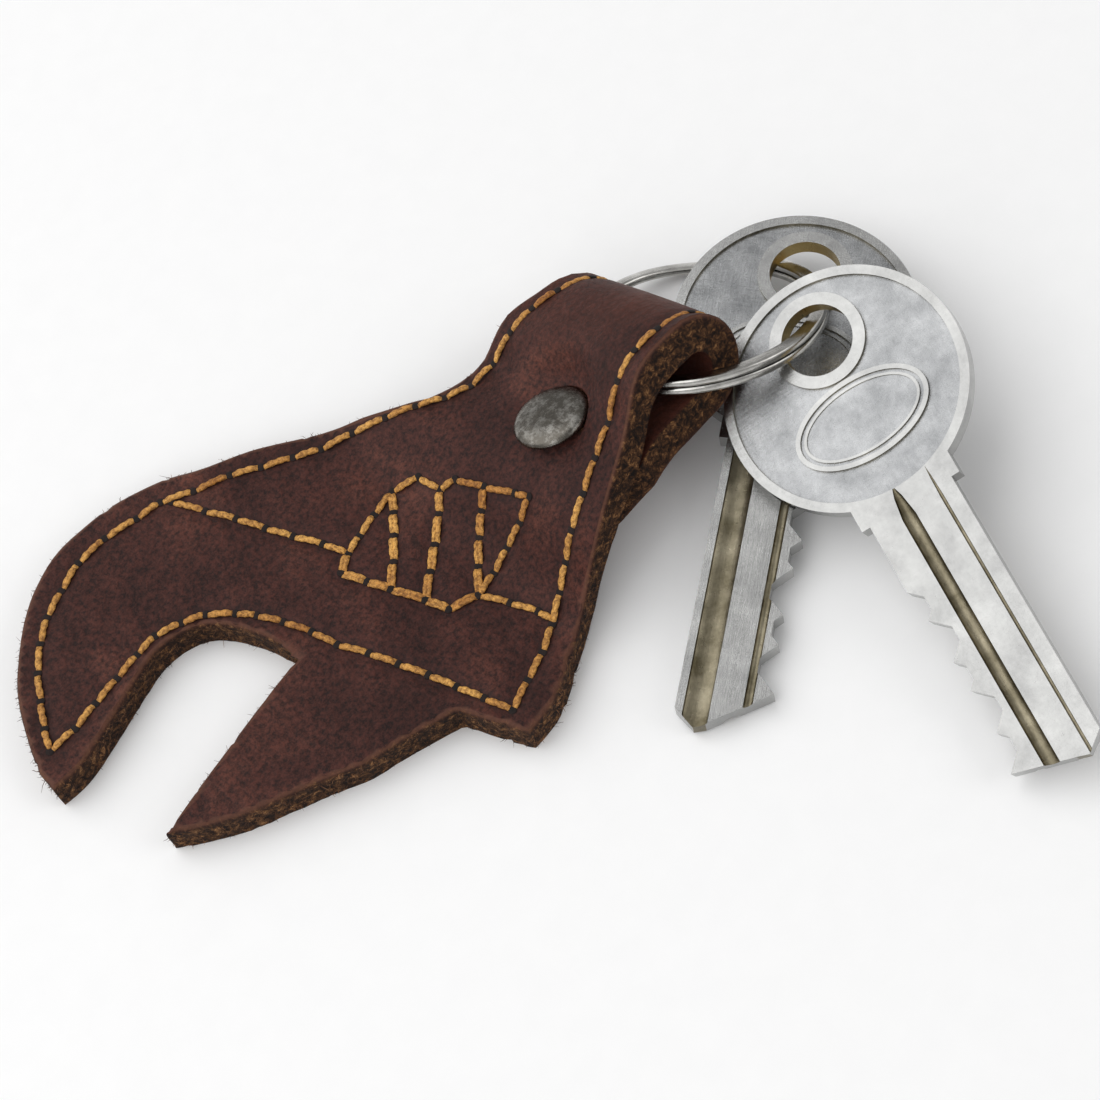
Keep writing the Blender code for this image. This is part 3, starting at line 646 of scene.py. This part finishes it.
# ---------------------------------------------------------------- thread
def add_stitch(bm, a, b, side, radius):
    """One stitch from hole to hole: two twisted plies that dip into the leather at both ends."""
    (pa, na), (pb, nb) = a, b
    along = pb - pa
    turns = PLY_TURNS * along.length / STITCH_PITCH
    stations, sides = 24, 12
    rings = []
    for i in range(stations + 1):
        t = i / stations
        u = 2 * t - 1
        normal = na.lerp(nb, t).normalized()
        across = normal.cross(along).normalized()
        lift = (0.22 - 0.80 * abs(u) ** 4) * MM
        centre = pa.lerp(pb, t * 1.06 - 0.03) + normal * lift + across * (side + 0.10 * MM * u)
        swell = (1 - 0.45 * abs(u) ** 6) * radius
        ring = []
        for k in range(sides):
            angle = 2 * math.pi * k / sides
            ply = abs(math.cos(angle - math.pi * turns * t))
            r = swell * (0.74 + 0.30 * ply)
            offset = across * (r * 1.12 * math.cos(angle)) + normal * (r * 0.86 * math.sin(angle))
            ring.append(bm.verts.new(centre + offset))
        rings.append(ring)
    tube(bm, rings)


def make_seams():
    """Every sewn line as single stitches, with a near-black disc of painted shade in the hole at each
    stitch's ends.
    """
    hole_shades = bmesh.new()
    for name, points in SEAMS.items():
        places = []
        for s, v in scaled(points):
            p, normal = strap_normal(s, v)
            places.append((p - normal * THREAD_SINK, normal))
        bm = bmesh.new()
        strands = ((PLY_SIDE, PLY_R), (-PLY_SIDE, PLY_R)) if name in DOUBLE else ((0.0, STITCH_R),)
        for a, b in zip(places, places[1:]):
            for side, radius in strands:
                add_stitch(bm, a, b, side, radius)
        bmesh.ops.recalc_face_normals(bm, faces=bm.faces)
        seam = add_object(name + "_visual", bm, [THREAD_LOOK])
        smooth(seam, 60)
        fit(seam, "leather_fob", "thread", name)
        for index, (p, normal) in enumerate(places):
            other = places[index - 1][0] if index else places[1][0]
            frame_at = axis_frame(p + normal * 0.06 * MM, normal, p - other)
            bmesh.ops.create_uvsphere(hole_shades, u_segments=14, v_segments=7, radius=1.0,
                                      matrix=frame_at @ Matrix.Diagonal((*HOLE_SHADE_SIZE, 1)))
    # the discs are painted shade for the insides of the stitch holes
    dark = add_object("stitch_hole_shade", hole_shades, [HOLE_SHADE_LOOK])
    smooth(dark)
    fit(dark, "leather_fob", "leather")


def make_fibres():
    """Short loose fibres that stand out of the cut edge."""
    rng = np.random.default_rng(4)
    bm = bmesh.new()
    outline = strap_outline()
    total = len(outline)
    for _ in range(FIBRE_COUNT):
        i = int(rng.integers(total))
        a, b = outline[i], outline[(i + 1) % total]
        run = b - a
        if run.length < 0.2 * MM or run.length > 8 * MM:
            continue
        base = a.lerp(b, float(rng.random()))
        if base.x > FOLD_END - 1 * MM:
            continue
        out = Vector((run.y, -run.x)).normalized()
        height = float(rng.uniform(0.3, 3.5)) * MM
        length = float(rng.gamma(2.0, 0.11)) * MM
        sway = float(rng.normal()) * 0.7
        tip = base + out * length + run.normalized() * (sway * length)
        top = height + float(rng.normal()) * 0.5 * length
        root = strap_point(base.x - out.x * 0.1 * MM, base.y - out.y * 0.1 * MM, height)
        middle = strap_point((base.x + tip.x) / 2, (base.y + tip.y) / 2, height + (top - height) * 0.2)
        end = strap_point(tip.x, tip.y, min(3.8 * MM, max(0.05 * MM, top)))
        width = float(rng.uniform(0.022, 0.045)) * MM
        sideways = (end - root).cross(Vector((0.3, 0.2, 1))).normalized() * width
        upward = (end - root).cross(sideways).normalized() * width
        rings = []
        for p, w in ((root, 1.0), (middle, 0.8), (end, 0.35)):
            back, up = sideways * 0.5 * w, upward * w * 0.87
            rings.append([bm.verts.new(q) for q in (p + sideways * w, p - back + up, p - back - up)])
        tube(bm, rings)
    bmesh.ops.recalc_face_normals(bm, faces=bm.faces)
    made, tree, shader = new_material("fibre_look")
    place = tree.nodes.new("ShaderNodeTexCoord").outputs["Object"]
    speck = noise_node(tree, place, 500, 4, 0.7)
    tree.links.new(colour_ramp(tree, speck, [(0.35, (0.02, 0.010, 0.007)), (0.55, (0.13, 0.055, 0.026)),
                                             (0.72, (0.42, 0.20, 0.085))]), shader.inputs["Base Color"])
    shader.inputs["Roughness"].default_value = 0.85
    bump(tree, shader, speck, 0.3, 0.0001)
    fibres = add_object("edge_fibres", bm, [made])
    fit(fibres, "leather_fob", "leather")


# ---------------------------------------------------------------- split ring
def make_ring():
    """One flat-sided wire wound twice, with its crossover."""
    bm = bmesh.new()
    section = []
    for k in range(SECTION_SIDES):
        angle = 2 * math.pi * k / SECTION_SIDES
        c, s = math.cos(angle), math.sin(angle)
        power = (abs(c) ** 5 + abs(s) ** 5) ** -0.2
        section.append((COIL_WIDTH / 2 * c * power, COIL_T / 2 * s * power))
    total = 4 * math.pi - CROSSOVER - math.radians(4)
    loops = []
    for i in range(RING_STATIONS + 1):
        angle = total * i / RING_STATIONS
        t = min(1.0, max(0.0, (angle - (2 * math.pi - CROSSOVER)) / CROSSOVER))
        height = COIL_PITCH * (t * t * (3 - 2 * t) - 0.5)
        wobble = 0.03 * MM * math.sin(3 * angle + 0.5)
        loop = []
        for out, up in section:
            r = RING_MEAN_R + out + wobble * (1 if angle > 2 * math.pi else -1)
            loop.append(bm.verts.new((r * math.cos(angle), r * math.sin(angle), height + up)))
        loops.append(loop)
    tube(bm, loops)
    bmesh.ops.recalc_face_normals(bm, faces=bm.faces)
    ring = add_object("split_ring_visual", bm, [RING_LOOK], axis_frame(RING_CENTRE, RING_NORMAL, RING_SEAM))
    smooth(ring, 40)
    fit(ring, "split_ring", "ring_steel", "split_ring")


# ---------------------------------------------------------------- keys
def arc(cx, radius, start, end, count):
    found = []
    for i in range(count + 1):
        angle = start + (end - start) * i / count
        found.append((cx + radius * math.cos(angle), radius * math.sin(angle)))
    return found


def toothed_edge(key):
    """Points of the bitting, from the bow to the tip."""
    half, flat = key["half"], TOOTH_FLAT
    points, left_x = [], None
    for number, depth in enumerate(key["cuts"]):
        depth = depth * MM
        x = key["first_cut"] + number * TOOTH_PITCH
        start = x - flat / 2 - depth
        if left_x is not None and left_x > start:
            points.pop()
            points.append(((left_x + start) / 2, -half + (left_x - start) / 2))
        else:
            points.append((start, -half))
        points += [(x - flat / 2, depth - half), (x + flat / 2, depth - half)]
        left_x = x + flat / 2 + depth
        points.append((left_x, -half))
    return points


def key_outline(key):
    h, bow, half, tip = key["offset"], key["bow"], key["half"], key["offset"] + key["reach"]
    opening = math.asin((half + SHOULDER_STEP) / bow)
    shoulder = h + bow * math.cos(opening) + SHOULDER_LENGTH
    points = arc(h, bow, opening, 2 * math.pi - opening, 96)
    points += [(shoulder, -half - SHOULDER_STEP), (shoulder, -half)]
    points += toothed_edge(key)
    points += [(tip - 0.4 * MM, half - 3.2 * MM), (tip, half - 2.0 * MM), (tip - 1.6 * MM, half)]
    points += [(shoulder, half), (shoulder, half + SHOULDER_STEP)]
    return points


def prism(name, outline, low, high):
    """Flat plate between two heights."""
    bm = bmesh.new()
    face = bm.faces.new([bm.verts.new((x, y, low)) for x, y in outline])
    raised = bmesh.ops.extrude_face_region(bm, geom=[face])
    for item in raised["geom"]:
        if isinstance(item, bmesh.types.BMVert):
            item.co.z = high
    bmesh.ops.recalc_face_normals(bm, faces=bm.faces)
    return add_object(name, bm, [KEY_LOOK])


def ellipse(cx, a, b, count=64):
    step = 2 * math.pi / count
    return [(cx + a * math.cos(step * i), b * math.sin(step * i)) for i in range(count)]


def channel(start, end, centre, width, surface, depth):
    """Cutter for a round-bottomed groove that runs out to a point near the bow."""
    bm = bmesh.new()
    loops = []
    for x, share in ((start, 0.05), (start + 1.2 * MM, 0.55), (start + 3.5 * MM, 1.0), (end, 1.0)):
        half = width / 2 * share
        loop = [(centre + half, surface - depth), (centre - half, surface - depth)]
        for step in range(9):
            angle = math.pi * (1 - step / 8)
            loop.append((centre + half * math.cos(angle), surface + depth * share * math.sin(angle)))
        loops.append([bm.verts.new((x, y, z)) for y, z in loop])
    tube(bm, loops)
    bmesh.ops.recalc_face_normals(bm, faces=bm.faces)
    return add_object("groove", bm, [KEY_LOOK])


def recess(name, outline, side, depth):
    """Cutter for a flat recess in one face of the plate."""
    low, high = sorted((side * (KEY_T / 2 - depth), side * KEY_T))
    return prism(name, outline, low, high)


def make_key(name, key):
    """A cylinder key: rim, pockets, collar, plain badge, grooves and bitting."""
    h, bow = key["offset"], key["bow"]
    top = KEY_T / 2
    body = prism(name + "_visual", key_outline(key), -top, top)
    cut(body, prism("hole", ellipse(0, key["hole"], key["hole"]), -2 * top, 2 * top))
    for side in (-1, 1):
        inner, keep = bow - BOW_RIM, key["hole"] + COLLAR
        pocket = recess("pocket", ellipse(h, inner, inner, 96), side, POCKET_DEPTH)
        cut(pocket, prism("collar", ellipse(0, keep, keep), -3 * top, 3 * top))
        cut(pocket, prism("badge", ellipse(h + BADGE_X, *BADGE), -3 * top, 3 * top))
        cut(body, pocket)
        # the badge: a raised border round a sunken field with a thin inner line
        field = recess("field", ellipse(h + BADGE_X, *FIELD), side, FIELD_DEPTH)
        cut(field, prism("line", ellipse(h + BADGE_X, *LINE), -3 * top, 3 * top))
        cut(body, field)
        cut(body, recess("face", ellipse(h + BADGE_X, *FACE), side, FACE_DEPTH))
    start, end = h + bow - 1.2 * MM, h + key["reach"] + 3 * MM
    for side, centre, width, deep in GROOVES:
        cut(body, channel(start, end, centre, width, side * top, -side * deep))
    # looks by place: 0 raised faces, 1 pockets, 2 the hole's wall, 3 grooves and pocket walls, in brass
    # darkened with painted shade
    body.data.materials.clear()
    for look in (KEY_LOOK, POCKET_LOOK, BRASS_LOOK, GROOVE_BRASS_SHADE_LOOK):
        body.data.materials.append(look)
    shoulder = h + bow
    for face in body.data.polygons:
        c, n = face.center, face.normal
        face.material_index = 0
        level = top - abs(c.z)
        if c.x < shoulder and abs(n.z) > 0.9 and level > 0.1 * MM:
            face.material_index = 1
        near_hole = math.hypot(c.x, c.y) < key["hole"] + 0.15 * MM
        inside = math.hypot(c.x - h, c.y) < bow - 0.5 * MM
        if near_hole and abs(n.z) < 0.5:
            face.material_index = 2
        elif inside and abs(n.z) < 0.5:
            face.material_index = 3
        for side, centre, width, _ in GROOVES:
            if c.x > start and side * c.z > 0 and abs(c.y - centre) < width / 2 and level > 0.01 * MM:
                face.material_index = 3
    bevel = body.modifiers.new("bevel", "BEVEL")
    bevel.width = KEY_BEVEL
    bevel.segments = 2
    bevel.limit_method = "ANGLE"
    bevel.angle_limit = math.radians(40)
    bevel.use_clamp_overlap = True
    smooth(body, 30)
    matrix = axis_frame(key["position"], key["normal"], key["along"])
    body.matrix_world = matrix @ Matrix.Rotation(math.pi if key["flipped"] else 0.0, 4, "X")
    fit(body, name, "key_nickel", name)


strap = make_leather()
make_rivet(strap)
smooth(strap, 60)
fit(strap, "leather_fob", "leather", "leather_strap")
make_seams()
make_fibres()
make_ring()
for key_name, key_data in KEYS.items():
    make_key(key_name, key_data)


# ---------------------------------------------------------------- stage
def make_stage():
    """Pale floor, three soft lights, pale world and the camera."""
    bpy.ops.mesh.primitive_plane_add(size=6, location=(0, 0, 0))
    floor = bpy.context.object
    made, tree, shader = new_material("floor_look")
    place = tree.nodes.new("ShaderNodeTexCoord").outputs["Object"]
    grain = noise_node(tree, place, 300, 3, 0.5)
    tree.links.new(colour_ramp(tree, grain, [(0.3, (0.955, 0.955, 0.955)), (0.7, (0.97, 0.97, 0.97))]),
                   shader.inputs["Base Color"])
    shader.inputs["Roughness"].default_value = 0.8
    floor.data.materials.append(made)
    lights = (
        ("key_light", (-0.30, 0.50, 0.72), 1.2, 6.2),
        ("fill_light", (-0.70, -0.25, 0.60), 0.60, 1.8),
        ("near_light", (0.45, -0.60, 0.55), 0.50, 1.0),
    )
    for name, place, size, power in lights:
        data = bpy.data.lights.new(name, "AREA")
        data.size = size
        data.energy = power
        lamp = bpy.data.objects.new(name, data)
        bpy.context.scene.collection.objects.link(lamp)
        lamp.location = place
        lamp.rotation_euler = (Vector((0.01, 0, 0)) - Vector(place)).to_track_quat("-Z", "Y").to_euler()
    world = bpy.data.worlds.new("studio")
    bpy.context.scene.world = world
    world.use_nodes = True
    background = world.node_tree.nodes["Background"]
    background.inputs["Color"].default_value = (1.0, 1.0, 1.0, 1)
    background.inputs["Strength"].default_value = 0.46
    camera_data = bpy.data.cameras.new("camera")
    camera = bpy.data.objects.new("camera", camera_data)
    bpy.context.scene.collection.objects.link(camera)
    right = Vector((0.6686, -0.7256, -0.1627))
    up = Vector((0.6965, 0.5344, 0.4788))
    back = Vector((-0.2604, -0.4335, 0.8627))
    turn = Matrix((right, up, back)).transposed().to_4x4()
    camera.matrix_world = Matrix.Translation(Vector((-58.80, -117.31, 226.70)) * MM) @ turn
    camera_data.lens = 85.09
    camera_data.sensor_width = 36.0
    camera_data.clip_start = 0.01
    bpy.context.scene.camera = camera
    bpy.context.scene.view_settings.view_transform = "Standard"


make_stage()
